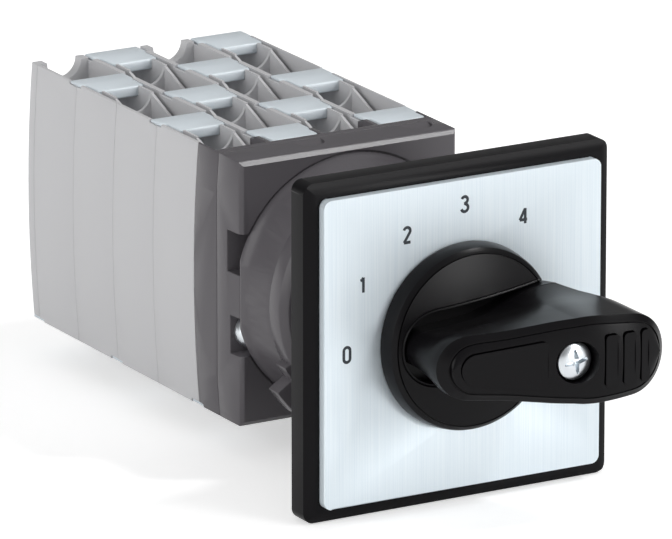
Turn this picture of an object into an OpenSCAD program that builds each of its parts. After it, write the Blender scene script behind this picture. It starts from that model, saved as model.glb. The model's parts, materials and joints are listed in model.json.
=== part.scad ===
// Panel-mounted rotary cam switch with five positions and four contact wafers.
// X runs to the right seen from the front, Y into the panel, Z up.
// The origin is on the switch axis, on the rear face of the panel gasket.

/* [Front] */
// Side of the square black front frame
frame_size = 60; // [59:0.5:62]
// Side of the square legend plate
plate_size = 54.6; // [54:0.1:55.6]
// Radius of the knob disc at its rear edge
disc_radius = 16.5; // [15.9:0.1:17]
// Distance from the axis to the grip screw
screw_offset = 8.24; // [7:0.02:9]
// Distance from the axis to the far end of the grip
grip_reach = 25.4; // [25:0.1:27]

/* [Panel mounting] */
// Radius of the neck that passes through the panel hole
neck_radius = 11.05; // [10.9:0.05:11.1]
// Panel thickness that the ring nut leaves free
panel_gap = 3.2; // [1.5:0.1:4]

/* [Body] */
// Width of the body at its corners
body_w = 43.3; // [43:0.1:44]
// Height of the body
body_h = 47.7; // [47.4:0.1:48.5]
// How far the side walls bow out at mid height
side_bow = 1; // [0.5:0.1:1.5]
// Depth of one contact wafer
wafer_pitch = 14.7; // [14.5:0.1:15.2]
// Number of contact wafers
wafer_count = 4; // [4]
// Radius of the screwdriver bores
bore_radius = 3.5; // [3.2:0.1:3.6]

/* [Mechanism] */
// Side of the square drive shaft
shaft_side = 6; // [5.8:0.1:6]
// Angle between two positions
step_angle = 30; // [30]
// Number of steps between the two end stops
step_count = 4; // [4]
// Travel of a contact plunger over the whole turn
lift = 1.2; // [1:0.1:1.2]

/* [Hidden] */
$fn = 72;
cut = 0.5;

// Places along the axis, from the plate's face to the rear
plate_front = -7.5;
plate_rear = -5.7;
frame_front = -5.9;
frame_edge = -5.0;
frame_rear = -1.0;
disc_rear = plate_front - 0.3;
disc_front = -11.85;
pocket_floor = -9.1;
screw_seat = -27;
shaft_front = -17;
ring_front = 17.5;
ring_rear = 22.3;
boss_front = 22.5;
base_face = 31.1;
base_seam = 38.8;
base_back = 46.1;
rear_face = base_back + wafer_count * wafer_pitch;
end_plate_t = 2.2;

// Body outline
half_w = body_w / 2;
half_h = body_h / 2;
bow_radius = (side_bow * side_bow + half_h * half_h) / (2 * side_bow);

// Terminal field: four columns, with the wafers' terminals in alternate ones
column_w = body_w / 4;
wall_t = 1;
lid_t = 1.95;
lid_front = 6.5;
lid_over = 2.6;
flange_t = 0.6;
flange_l = 4.15;
notch_wall_y = 3.3;
notch_wall_t = 0.7;
block_half = 3.9;
block_top = half_h - 0.3;
bore_y = 6.9;
well_y = 7.5;
well_z = 16.6;
head_r = 2.8;
fin_t = 0.55;
fin_reach = 12.5;
fin_drop = 4.8;
ramp_high = 19.5;
ramp_low = 14.9;
ramp_slope = (ramp_high - ramp_low) / (wafer_pitch - lid_over + notch_wall_y);

// Height of the wiring channel's floor at a distance in front of the notched wall
function floor_z(d) = ramp_low + ramp_slope * d;

// Contact chamber behind each wafer's terminals
chamber_y = 9.7;
chamber_half_x = 9.6;
chamber_half_z = 14.3;
leg_y = 9.8;
leg_t = 0.7;
tongue_z = 12.4;
tongue_t = 0.8;
foot_x = 6.5;
tip_z = 9.95;
bridge_t = 0.7;
plunger_y = 12.5;
plunger_h = 3.55;
running_gap = 0.05;

// Cams: the lobe falls by the lift over the switch's whole turn
cam_high = 7.6;
cam_low = cam_high - lift;
turn_range = step_angle * step_count;
cam_y0 = 10.9;
cam_y1 = 14.1;

// Tie bolts with their nuts, opposite each other on both sides of the axis
bolt_x = 18.2;
bolt_z = 7.5;
bolt_r = 1.5;
bolt_head_r = 2.5;
bolt_head_t = 1.4;
nut_r = 3.35;
nut_y0 = 32;
nut_y1 = 34.4;

black = "#1d1c1e";
dark_grey = "#5d5b5d";
wafer_grey = "#c4c4c5";
cover_grey = "#d9e0e2";
silver = "#dfe6ea";
zinc = "#cfd2d4";
brass = "#c9a653";
copper = "#c27b4e";
natural = "#e6e0d0";

// Shapes that several pieces use

module slab(y0, y1) {
    translate([0, y1, 0]) rotate([90, 0, 0]) linear_extrude(height = y1 - y0) children();
}

module rod(r, y0, y1) {
    translate([0, y0, 0]) rotate([-90, 0, 0]) cylinder(r = r, h = y1 - y0);
}

module turned() {
    rotate([-90, 0, 0]) rotate_extrude($fn = 144) children();
}

module post(r, x, y, z0, z1) {
    translate([x, y, z0]) cylinder(r = r, h = z1 - z0, $fn = 48);
}

module box(x0, x1, y0, y1, z0, z1) {
    translate([x0, y0, z0]) cube([x1 - x0, y1 - y0, z1 - z0]);
}

module rounded_rect(w, h, r) {
    square([w - 2 * r, h], center = true);
    square([w, h - 2 * r], center = true);
    for (sx = [-1, 1], sy = [-1, 1]) {
        translate([sx * (w / 2 - r), sy * (h / 2 - r)]) circle(r);
    }
}

// Two circles on the X axis joined by their outer tangents
module teardrop(x1, r1, x2, r2) {
    lean = asin((r2 - r1) / (x2 - x1));
    a = [x1 - r1 * sin(lean), r1 * cos(lean)];
    b = [x2 - r2 * sin(lean), r2 * cos(lean)];
    translate([x1, 0]) circle(r1);
    translate([x2, 0]) circle(r2);
    polygon([a, b, [b.x, -b.y], [a.x, -a.y]]);
}

module pie(r, from, to) {
    steps = 24;
    arc = [for (i = [0 : steps]) let (a = from + (to - from) * i / steps) [cos(a), sin(a)]];
    polygon(concat([[0, 0]], [for (p = arc) r * p]));
}

// A slab whose front edges are cut back, with rounded corners
module bevelled_slab(size, r, y_face, y_edge, y_back, face_size) {
    profile = [
        [-size / 2, y_back], [-size / 2, y_edge], [-face_size / 2, y_face],
        [face_size / 2, y_face], [size / 2, y_edge], [size / 2, y_back]
    ];
    intersection() {
        slab(y_face, y_back) rounded_rect(size, size, r);
        translate([0, 0, -size / 2]) linear_extrude(height = size) polygon(profile);
        rotate([0, 90, 0]) translate([0, 0, -size / 2]) linear_extrude(height = size) polygon(profile);
    }
}

// Both halves of whatever is the same after half a turn about the axis
module both_ends() {
    children();
    rotate([0, 180, 0]) children();
}

module helix(radius, wire, turns, z0, z1) {
    sides = 6;
    per_turn = 10;
    rings = turns * per_turn;
    points = [
        for (i = [0 : rings], j = [0 : sides - 1])
            let (t = 360 * i / per_turn, a = 360 * j / sides, reach = radius + wire * cos(a))
                [reach * cos(t), reach * sin(t), z0 + (z1 - z0) * i / rings + wire * sin(a)]
    ];
    walls = [
        for (i = [0 : rings - 1], j = [0 : sides - 1])
            let (k = (j + 1) % sides)
                [i * sides + j, i * sides + k, (i + 1) * sides + k, (i + 1) * sides + j]
    ];
    first = [for (j = [0 : sides - 1]) sides - 1 - j];
    last = [for (j = [0 : sides - 1]) rings * sides + j];
    polyhedron(points, concat([first, last], walls), convexity = 6);
}

// Front: plate, frame, gasket and the collar that goes through the panel

module legend_plate() {
    color(silver) difference() {
        slab(plate_front, plate_rear) rounded_rect(plate_size, plate_size, 1.5);
        rod(12.5, plate_front - cut, plate_rear + cut);
    }
}

module front_frame() {
    pocket = frame_size - 5;
    pocket_front = -3.4;
    color(black) {
        difference() {
            bevelled_slab(frame_size, 2, frame_front, frame_edge, frame_rear, 55.9);
            slab(frame_front - cut, plate_rear) rounded_rect(plate_size + 0.2, plate_size + 0.2, 1.6);
            rod(15.3, frame_front - cut, -4.4);
            rod(neck_radius + 0.1, frame_front - cut, frame_rear + cut);
            slab(pocket_front, frame_rear + cut) difference() {
                rounded_rect(pocket, pocket, 1.5);
                circle(14);
                for (a = [0 : 45 : 135]) rotate(a) square([2 * frame_size, 1.6], center = true);
            }
        }
    }
}

module panel_gasket() {
    color("#2b2a2b") difference() {
        slab(frame_rear, 0) rounded_rect(frame_size - 1.2, frame_size - 1.2, 1.6);
        rod(neck_radius + 0.1, frame_rear - cut, cut);
    }
}

lug_angles = [0, 120, 240];
lock_turn = 25;
groove_front = 17.4;
groove_rear = 19.5;
neck_rear = 23.5;

module mounting_collar() {
    hub_bore = 7.5;
    groove_r = 9.7;
    color(black) difference() {
        union() {
            rod(15.2, plate_rear, -4.4);
            rod(neck_radius, -4.5, groove_front);
            rod(groove_r, groove_front - cut, neck_rear);
            slab(groove_rear, neck_rear) for (a = lug_angles) {
                rotate(a) intersection() {
                    circle(neck_radius);
                    pie(neck_radius + 2, lock_turn + 12 - 120, lock_turn - 12);
                }
            }
        }
        rod(hub_bore, plate_rear - cut, neck_rear + cut);
    }
}

module panel_nut() {
    ring_nut_r = 15;
    nut_front = panel_gap;
    nut_rear = nut_front + 5;
    grips = 18;
    color(black) difference() {
        turned() polygon([
            [neck_radius + 0.02, nut_front], [ring_nut_r - 0.3, nut_front], [ring_nut_r, nut_front + 0.6],
            [ring_nut_r, nut_rear - 0.8], [ring_nut_r - 0.8, nut_rear], [neck_radius + 0.02, nut_rear]
        ]);
        for (i = [0 : grips - 1]) {
            rotate([0, i * 360 / grips, 0]) translate([ring_nut_r + 0.5, 0, 0])
                rod(1.3, nut_front + 1.2, nut_rear + cut);
        }
    }
}

// Knob: disc with a teardrop pocket, the grip that fills it and the grip's screw

pocket_x = 12.6;
pocket_r = 8.5;

module knob_disc() {
    rim = disc_radius - 0.35;
    face = disc_radius - 0.9;
    color(black) difference() {
        union() {
            turned() polygon([
                [0, disc_rear], [disc_radius, disc_rear], [rim, disc_front + 1.1],
                [rim - 0.2, disc_front + 0.4], [face, disc_front], [0, disc_front]
            ]);
            rod(7.4, disc_rear - cut, 6);
        }
        slab(disc_front - cut, pocket_floor) {
            teardrop(-7.5, 6.5, pocket_x, pocket_r);
            translate([pocket_x, -pocket_r]) square([12, 2 * pocket_r]);
        }
        slab(disc_front - cut, 6 + cut) square(shaft_side + 0.1, center = true);
        translate([screw_offset, 0, 0]) rod(1.6, pocket_floor - cut, disc_rear + cut);
    }
}

// Stations along the grip: web centre and radius, rim centre and radius
grip_stations = [
    [-10.3, 3.3, -9, 5.7],
    [-4, 3.75, -3.4, 6.1],
    [1.5, 4.5, 1.8, 6.75],
    [6, 5.8, 5.6, 7.25],
    [9.6, 7.2, 8.8, 7.55],
    [12.8, 8.2, 11.8, 7.75],
    [grip_reach - 7.4, 7.4, grip_reach - 7.2, 7.2]
];
web_front = -12.8;
rim_start = -21.5;
rim_end = -34.5;
crown_r = 29.1;
crown_x = 17.5;
crown_front = -32.5;
crown_y = crown_front + crown_r;
ramp_end = 9;
screw_hole_r = 3.4;

module grip_flank(a, b) {
    facets = 32;
    hull() {
        for (s = [a, b]) {
            translate([s[0], 0, 0]) rod(s[1], web_front, pocket_floor, $fn = facets);
            translate([s[2], 0, 0]) rod(s[3], rim_end, rim_start, $fn = facets);
        }
    }
}

// Side view of the grip: a ramp from the nose that runs into a round crown
module grip_profile() {
    slope = (crown_x - ramp_end) / sqrt(crown_r * crown_r - (crown_x - ramp_end) * (crown_x - ramp_end));
    nose = -16;
    y_end = crown_y - sqrt(crown_r * crown_r - (crown_x - ramp_end) * (crown_x - ramp_end));
    polygon([[nose, y_end + (ramp_end - nose) * slope], [ramp_end, y_end], [ramp_end, 0], [nose, 0]]);
    intersection() {
        translate([crown_x, crown_y]) circle(crown_r, $fn = 180);
        translate([ramp_end - 0.01, -2 * crown_r]) square([30, 2 * crown_r]);
    }
}

// Shallow panel on the ramp, between the nose and the screw
module grip_pad_cut() {
    depth = 0.3;
    intersection() {
        translate([0, 0, -12]) linear_extrude(height = 24) difference() {
            translate([-20, -50]) square([60, 50]);
            translate([0, depth]) grip_profile();
        }
        slab(-50, -10) {
            teardrop(-8.4, 2.85, 0.6, 4.2);
            translate([0.6, -4.2]) square([1.7, 8.4]);
            translate([2.2, -3.2]) square([1.1, 6.4]);
            for (s = [-1, 1]) translate([2.3, 3.2 * s]) circle(1);
        }
    }
}

module lever_grip() {
    color(black) difference() {
        intersection() {
            for (i = [0 : len(grip_stations) - 2]) grip_flank(grip_stations[i], grip_stations[i + 1]);
            translate([0, 0, -12]) linear_extrude(height = 24) grip_profile();
        }
        translate([screw_offset, 0, 0]) rod(screw_hole_r, -40, screw_seat);
        translate([screw_offset, 0, 0]) rod(2.05, -40, pocket_floor + cut);
        slab(shaft_front - 0.1, pocket_floor + cut) square(shaft_side + 0.1, center = true);
        grip_pad_cut();
        grip_grooves();
    }
}

// Three shallow grooves across the grip's end, for the thumb
module grip_grooves() {
    depth = 0.7;
    for (x = [14.05, 17.45, 20.95]) {
        surface = crown_front + (x - crown_x) * (x - crown_x) / (2 * crown_r);
        translate([x, 0, 0]) slab(surface - 3, surface + depth) rounded_rect(2.5, 9.2, 0.7);
    }
}

module grip_screw() {
    grip_head_r = screw_hole_r - 0.25;
    head_front = screw_seat - 2.7;
    color(zinc) translate([screw_offset, 0, 0]) {
        difference() {
            turned() polygon([
                [0, screw_seat], [grip_head_r, screw_seat], [grip_head_r, head_front + 1.2],
                [grip_head_r - 0.5, head_front + 0.4], [grip_head_r - 1.5, head_front], [0, head_front]
            ]);
            for (a = [45, 135]) rotate([0, a, 0]) box(-1.7, 1.7, head_front - cut, head_front + 1.2, -0.35, 0.35);
        }
        rod(1.95, screw_seat - 0.1, disc_rear - 2.4);
        rod(1.5, disc_rear - 2.6, disc_rear);
    }
}

module drive_shaft() {
    color(zinc) {
        slab(shaft_front, rear_face - 0.3) square(shaft_side, center = true);
        rod(2.9, rear_face - 0.5, rear_face + end_plate_t - 0.2);
    }
}

// Coupling: ring with a thumb lug that locks the body onto the collar

module locking_ring() {
    ring_r = 21.1;
    bore = neck_radius + 0.2;
    web_t = 1.8;
    tab_r = 22.3;
    lug_r = 25.7;
    color(dark_grey) difference() {
        union() {
            turned() polygon([
                [bore, ring_front], [19.9, ring_front], [ring_r, ring_front + 1.4], [ring_r, ring_rear],
                [19.95, ring_rear], [19.95, ring_front + web_t], [bore, ring_front + web_t]
            ]);
            slab(ring_front, ring_front + web_t) for (a = lug_angles) {
                intersection() {
                    rotate(a) pie(bore + 0.5, -10, 10);
                    difference() {
                        circle(bore + 0.4);
                        circle(9.9);
                    }
                }
            }
            slab(ring_front + 1.4, ring_rear) difference() {
                union() {
                    intersection() {
                        circle(tab_r);
                        pie(30, 207, 232);
                    }
                    intersection() {
                        circle(lug_r);
                        pie(30, 214, 228);
                    }
                }
                circle(20.5);
            }
        }
        for (a = [60 : 120 : 300]) rotate([0, a, 0]) translate([16.6, 0, 0]) rod(1.7, ring_front - cut, ring_rear);
    }
}

// Body outline with bowed sides
module body_outline() {
    reach = half_w + side_bow;
    intersection() {
        square([2 * reach, body_h], center = true);
        translate([bow_radius - reach, 0]) circle(bow_radius, $fn = 720);
        translate([reach - bow_radius, 0]) circle(bow_radius, $fn = 720);
    }
}

// Front housing: straight at the face, bowed where the wafers begin
module base_envelope(y0, y1) {
    edge = 0.65;
    lead = 2;
    inner = edge + lead;
    widen = side_bow * (base_back + lead - base_face) / (base_back - base_face);
    plan = [
        [-half_w + inner, base_face - lead], [half_w - inner, base_face - lead], [half_w, base_face + edge],
        [half_w + widen, base_back + lead], [-half_w - widen, base_back + lead], [-half_w, base_face + edge]
    ];
    side = [
        [-half_h + inner, base_face - lead], [half_h - inner, base_face - lead], [half_h + lead, base_face + inner],
        [half_h + lead, base_back + lead], [-half_h - lead, base_back + lead], [-half_h - lead, base_face + inner]
    ];
    intersection() {
        slab(y0, y1) body_outline();
        translate([0, 0, -body_h]) linear_extrude(height = 2 * body_h) polygon(plan);
        rotate([0, -90, 0]) translate([0, 0, -body_h]) linear_extrude(height = 2 * body_h) polygon(side);
    }
}

module bolt_holes(y0, y1) {
    both_ends() translate([-bolt_x, 0, -bolt_z]) rod(bolt_r + 0.1, y0, y1);
}

stop_r = 9.5;
stop_lug_r = 12.2;
stop_lug = 24;
stop_rest = 150;
stop_y0 = 33.6;
stop_y1 = 36.6;

module base_front() {
    spigot_r = 19.88;
    socket_rear = 23.7;
    boss_rear_r = 22.5;
    boss_front_r = 20.7;
    color(dark_grey) difference() {
        union() {
            difference() {
                base_envelope(base_face, base_seam);
                both_ends() {
                    box(-30, -17.5, base_face - cut, 34.6, -11.2, -4.4);
                    box(-30, -17.5, base_face - cut, 35.5, 3.4, 10.8);
                }
            }
            intersection() {
                turned() polygon([
                    [0, base_face + cut], [boss_rear_r, base_face + cut], [boss_rear_r, base_face],
                    [21.65, base_face - 1.5], [boss_front_r, boss_front], [spigot_r, boss_front],
                    [spigot_r, ring_front + 2], [0, ring_front + 2]
                ]);
                box(-half_w, half_w, ring_front, base_seam, -half_h, half_h);
            }
        }
        rod(neck_radius + 0.1, ring_front, socket_rear);
        rod(4.7, ring_front, base_seam);
        slab(stop_y0 - 0.3, base_seam + cut) union() {
            circle(stop_r + 0.2);
            intersection() {
                circle(stop_lug_r + 0.2);
                pie(20, stop_rest - turn_range - stop_lug / 2 - 1, stop_rest + stop_lug / 2 + 1);
            }
        }
        both_ends() box(-30, -bolt_x + nut_r + 0.05, nut_y0 - 0.05, nut_y1 + 0.05, -bolt_z - 3, -bolt_z + 3);
        bolt_holes(nut_y0 - 0.7, base_seam + cut);
        for (c = [1, 3]) scoop(c);
        both_ends() box(-7, 7, boss_front - 1, boss_front + 3.2, 20.3, 24);
    }
}

// Round-ended scoop in the housing's top, its floor falling towards the front
module scoop(column) {
    r = 2.75;
    front = 34.25;
    rear = 38.1;
    slope = 0.3;
    both_ends() translate([column_x(column) + 0.66, 0, half_h]) intersection() {
        translate([0, front + r, -3]) linear_extrude(height = 4) {
            circle(r);
            translate([-r, 0]) square([2 * r, rear - front]);
        }
        translate([-r - 1, 0, 0]) rotate([90, 0, 90]) linear_extrude(height = 2 * r + 2)
            polygon([[rear - 6, -6 * slope], [rear + 2, 2 * slope], [rear + 2, 2], [rear - 6, 2]]);
    }
}

function column_x(c) = (c - 1.5) * column_w;

base_open = 40.6;

module base_rear() {
    detent_r = 9.9;
    detent_back = 44.6;
    color(dark_grey) difference() {
        base_envelope(base_seam, base_back);
        rod(4.7, base_seam, base_back + cut);
        rod(detent_r, base_seam - cut, detent_back);
        for (s = [-1, 1]) {
            box(s * 10.35 - 1.2, s * 10.35 + 1.2, base_seam - cut, detent_back, -8.5, 8.5);
            box(s * 10.3 - 0.27, s * 10.3 + 0.27, base_seam - cut, detent_back, -11.05, 11.05);
        }
        bolt_holes(base_seam - cut, base_back + cut);
        both_ends() {
            for (c = [0, 2]) {
                channel(
                    column_x(c), base_open, base_back + cut,
                    floor_z(base_back + notch_wall_y - base_open), floor_z(notch_wall_y - cut)
                );
            }
            for (c = [1, 3]) lid_pocket(column_x(c), base_open, base_back + lid_over - flange_l, base_back + cut);
        }
    }
}

// Open wiring channel between two partitions, with a floor that slopes down to the terminal
module channel(x, y0, y1, z_front, z_back) {
    half = column_w / 2 - wall_t / 2;
    translate([x - half, 0, 0]) rotate([90, 0, 90]) linear_extrude(height = 2 * half)
        polygon([[y0, z_front], [y1, z_back], [y1, 30], [y0, 30]]);
}

// Place for a lid between two partitions, whose tops are lower where its flange rests on them
module lid_pocket(x, y0, y_flange, y1) {
    half = column_w / 2 - wall_t / 2;
    box(x - half, x + half, y0 - running_gap, y1, half_h - lid_t, 30);
    box(x - half - wall_t, x + half + wall_t, y_flange - running_gap, y1, half_h - flange_t, 30);
}

// Motion: end stop, detent and shaft

module square_bore(y0, y1) {
    slab(y0, y1) square(shaft_side + 0.1, center = true);
}

module stop_disc() {
    color(natural) difference() {
        slab(stop_y0, stop_y1) {
            circle(stop_r);
            intersection() {
                circle(stop_lug_r);
                pie(20, stop_rest - stop_lug / 2, stop_rest + stop_lug / 2);
            }
        }
        square_bore(stop_y0 - cut, stop_y1 + cut);
    }
}

detent_y0 = 39.6;
detent_y1 = 44.2;
detent_mean = 8.9;
detent_wave = 0.5;

module detent_wheel() {
    teeth = 360 / step_angle;
    points = teeth * 16;
    color(natural) difference() {
        slab(detent_y0, detent_y1) polygon([
            for (i = [0 : points - 1])
                let (a = 360 * i / points, r = detent_mean - detent_wave * cos(teeth * a))
                    r * [cos(a), sin(a)]
        ]);
        square_bore(detent_y0 - cut, detent_y1 + cut);
    }
}

module detent_springs() {
    nose_r = 0.8;
    leaf_t = 0.5;
    nose_x = detent_mean - detent_wave + nose_r + running_gap;
    color(zinc) both_ends() slab(detent_y0 + 0.3, detent_y1 - 0.3) {
        translate([nose_x, 0]) circle(nose_r);
        translate([nose_x, -nose_r]) square([0.8, 2 * nose_r]);
        translate([10.3 - leaf_t / 2, -11]) square([leaf_t, 22]);
    }
}

// Contact wafers

function wafer_y(k) = base_back + (k - 1) * wafer_pitch;

// Columns that hold this wafer's upper terminals, the left one first
function terminal_columns(k) = k % 2 == 1 ? [0, 2] : [1, 3];
function open_columns(k) = k % 2 == 1 ? [1, 3] : [0, 2];

// Bore, screw seat and wire way of one terminal, cut from above
module terminal_cut(x, y) {
    wall_rear = y + notch_wall_y + notch_wall_t;
    translate([x, y + well_y, well_z]) linear_extrude(height = 20) {
        circle(bore_radius, $fn = 48);
        translate([-bore_radius, wall_rear - y - well_y]) square([2 * bore_radius, y + well_y - wall_rear]);
    }
    post(head_r + 0.15, x, y + bore_y, 15.3, well_z + 1);
    post(1.75, x, y + bore_y, 10.7, chamber_half_z + 1);
    box(x - 2.7, x + 2.7, wall_rear, y + leg_y + 0.1, tongue_z - 0.1, 15.4);
    box(x - 2.4, x + 2.4, y + notch_wall_y - cut, wall_rear + 0.1, 13.4, 17.6);
    translate([x, 0, half_h]) rod(bore_radius - 0.05, y + notch_wall_y - cut, wall_rear + cut);
    lid_pocket(x, y + wafer_pitch - lid_front, y + wafer_pitch + lid_over - flange_l, y + wafer_pitch + cut);
}

// The block round one terminal's bore, with a thin fin on each side of the wire way
module terminal_block(x, y, tip) {
    wall_front = y + notch_wall_y;
    drop = fin_drop * (wall_front - tip) / fin_reach;
    box(x - block_half, x + block_half, wall_front, y + wafer_pitch, 12, block_top);
    for (s = [-1, 1]) {
        translate([x + s * (block_half - fin_t / 2) - fin_t / 2, 0, 0]) rotate([90, 0, 90])
            linear_extrude(height = fin_t) polygon([
                [wall_front + 0.1, ramp_low - 1], [y, ramp_low - 1], [y, floor_z(wall_front - y) + running_gap],
                [tip, floor_z(wall_front - tip) + running_gap], [tip, block_top - drop],
                [wall_front, block_top], [wall_front + 0.1, block_top]
            ]);
    }
}

// Upper half of one wafer's moulding, as what is cut from it
module wafer_field_cut(k) {
    y = wafer_y(k);
    half = column_w / 2 - wall_t / 2;
    wall_front = y + notch_wall_y;
    for (c = terminal_columns(k)) {
        x = column_x(c);
        channel(x, y - cut, wall_front, floor_z(notch_wall_y + cut), ramp_low);
        difference() {
            box(x - half, x + half, wall_front - 0.1, y + wafer_pitch + cut, ramp_low, 30);
            box(x - block_half, x + block_half, wall_front - cut, y + wafer_pitch + 2 * cut, 0, 30);
        }
    }
    for (c = open_columns(k)) {
        x = column_x(c);
        channel(x, y + lid_over, y + wafer_pitch + cut, ramp_high, floor_z(notch_wall_y - cut));
        box(x - half, x + half, y - cut, y + lid_over + cut, half_h - lid_t, 30);
        box(x - half - wall_t, x + half + wall_t, y - cut, y + lid_over + running_gap, half_h - flange_t, 30);
    }
}

module contact_block(k) {
    y = wafer_y(k);
    color(wafer_grey) difference() {
        union() {
            difference() {
                slab(y, y + wafer_pitch) body_outline();
                both_ends() wafer_field_cut(k);
            }
            both_ends() for (c = terminal_columns(k)) {
                terminal_block(column_x(c), y, max(y + notch_wall_y - fin_reach, base_open + 0.2));
            }
        }
        both_ends() for (c = terminal_columns(k)) terminal_cut(column_x(c), y);
        difference() {
            box(-chamber_half_x, chamber_half_x, y + chamber_y, y + wafer_pitch + cut, -chamber_half_z, chamber_half_z);
            both_ends() plunger_guide(y);
        }
        both_ends() contact_slot(k);
        rod(4.7, y - cut, y + wafer_pitch);
        bolt_holes(y - cut, y + wafer_pitch + cut);
    }
}

// Two ribs that guide a plunger between them
module plunger_guide(y) {
    for (s = [-1, 1]) {
        box(s * 2.85 - 0.5, s * 2.85 + 0.5, y + chamber_y - cut, y + 14.2, cam_high + 0.4, 9.75);
    }
}

// Side of the wafer on which the longer contact arm runs
function far_side(k) = k % 2 == 1 ? -1 : 1;

module contact_slot(k) {
    y = wafer_y(k);
    s = far_side(k);
    reach = 1.5 * column_w + 2.7;
    box(min(s * reach, 0), max(s * reach, 0), y + chamber_y, y + leg_y + leg_t + 0.1, 10.2, 13.4);
}

module fixed_contact(x_terminal, x_foot, y) {
    x0 = min(x_terminal - 2.5, x_foot - 1.5);
    x1 = max(x_terminal + 2.5, x_foot + 1.5);
    leg_top = tongue_z + tongue_t;
    difference() {
        union() {
            box(x_terminal - 2.5, x_terminal + 2.5, y + 4.2, y + leg_y + 0.1, tongue_z, leg_top);
            box(x0, x1, y + leg_y, y + leg_y + leg_t, 10.4, leg_top);
            box(x_foot - 1.5, x_foot + 1.5, y + leg_y, y + leg_y + leg_t, tip_z - 0.95, leg_top);
            box(x_foot - 1.5, x_foot + 1.5, y + leg_y, y + 14.0, tip_z - 0.95, tip_z - 0.35);
        }
        post(1.7, x_terminal, y + bore_y, tongue_z - cut, leg_top + cut);
    }
    post(1.2, x_foot, y + plunger_y, tip_z - 0.36, tip_z);
}

module fixed_contacts(k) {
    y = wafer_y(k);
    columns = terminal_columns(k);
    color(brass) both_ends() {
        fixed_contact(column_x(columns[0]), -foot_x, y);
        fixed_contact(column_x(columns[1]), foot_x, y);
    }
}

// Cam outline: high, falling under the upper plunger, low, rising under the lower one
function cam_radius(a) =
    a < 30 ? cam_low + lift * (a + 90) / turn_range :
    a < 90 ? cam_high :
    a < 90 + turn_range ? cam_high - lift * (a - 90) / turn_range :
    a < 270 ? cam_low :
    cam_low + lift * (a - 270) / turn_range;

module cam(k) {
    y = wafer_y(k);
    points = 144;
    turn = k % 2 == 1 ? 0 : 180;
    color(natural) rotate([0, turn, 0]) difference() {
        union() {
            slab(y + cam_y0, y + cam_y1) polygon([
                for (i = [0 : points - 1]) let (a = 360 * i / points) cam_radius(a) * [cos(a), sin(a)]
            ]);
            rod(5.2, y + chamber_y + 0.2, y + wafer_pitch - 0.2);
        }
        square_bore(y, y + wafer_pitch);
    }
}

// Height of a plunger's nose above the axis: on the high part of the cam, or on the low one
function nose_z(k, upper) = ((k % 2 == 1) == upper ? cam_high : cam_low) + running_gap;

module plunger(k, upper) {
    y = wafer_y(k);
    nose = nose_z(k, upper);
    nose_r = 1;
    seat = nose + plunger_h;
    color(natural) rotate([0, upper ? 0 : 180, 0]) {
        translate([0, 0, nose + nose_r]) rod(nose_r, y + 10.8, y + 14.2, $fn = 36);
        box(-2.25, 2.25, y + 10.8, y + 14.2, nose + nose_r, seat);
        post(0.9, 0, y + plunger_y, seat - 0.1, seat + bridge_t + 0.9);
    }
}

module bridge(k, upper) {
    y = wafer_y(k);
    seat = nose_z(k, upper) + plunger_h;
    color(copper) rotate([0, upper ? 0 : 180, 0]) difference() {
        union() {
            box(-8, 8, y + 11, y + 14, seat, seat + bridge_t);
            for (s = [-1, 1]) post(1.1, s * foot_x, y + plunger_y, seat - 0.01, seat + bridge_t);
        }
        post(0.95, 0, y + plunger_y, seat - cut, seat + bridge_t + cut);
    }
}

module contact_spring(k, upper) {
    y = wafer_y(k);
    seat = nose_z(k, upper) + plunger_h + bridge_t;
    wire = 0.22;
    color(zinc) rotate([0, upper ? 0 : 180, 0]) translate([0, y + plunger_y, 0])
        helix(1.45, wire, 3, seat + wire + 0.02, chamber_half_z - wire - 0.02);
}

// Lid over the rear of one terminal well; its flange rests on the partitions, its front leaves a slit
module cover(x, y_front, y_back) {
    reach = 5.35;
    right = 4.85;
    left = 4.4;
    nose = 0.6;
    step = y_back - flange_l;
    translate([x, 0, half_h - lid_t]) linear_extrude(height = lid_t) polygon([
        [-left + nose, y_front], [right - nose, y_front], [right, y_front + nose], [right, y_back],
        [-right, y_back], [-right, step + 0.7], [-left, step], [-left, y_front + nose]
    ]);
    translate([x, 0, half_h - flange_t]) linear_extrude(height = flange_t) polygon([
        [-left, step], [right, step], [reach, step + 0.5], [reach, y_back], [-reach, y_back], [-reach, step + 0.9]
    ]);
}

module terminal_covers(k) {
    color(cover_grey) both_ends() for (c = terminal_columns(k)) {
        y_front = k == 0 ? base_open : wafer_y(k + 1) - lid_front;
        cover(column_x(c), y_front, wafer_y(k + 1) + lid_over);
    }
}

module terminal_screw(x, y) {
    difference() {
        post(head_r, x, y, 15.35, 17.2);
        box(x - head_r - cut, x + head_r + cut, y - 0.35, y + 0.35, 16.3, 18);
        box(x - 0.35, x + 0.35, y - head_r - cut, y + head_r + cut, 16.3, 18);
    }
    box(x - 2.55, x + 2.55, y - 2.55, y + 2.55, 14.5, 15.36);
    post(1.55, x, y, 10.9, 14.6);
}

module terminal_screws() {
    color(zinc) both_ends() for (k = [1 : wafer_count], c = terminal_columns(k)) {
        terminal_screw(column_x(c), wafer_y(k) + bore_y);
    }
}

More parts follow.
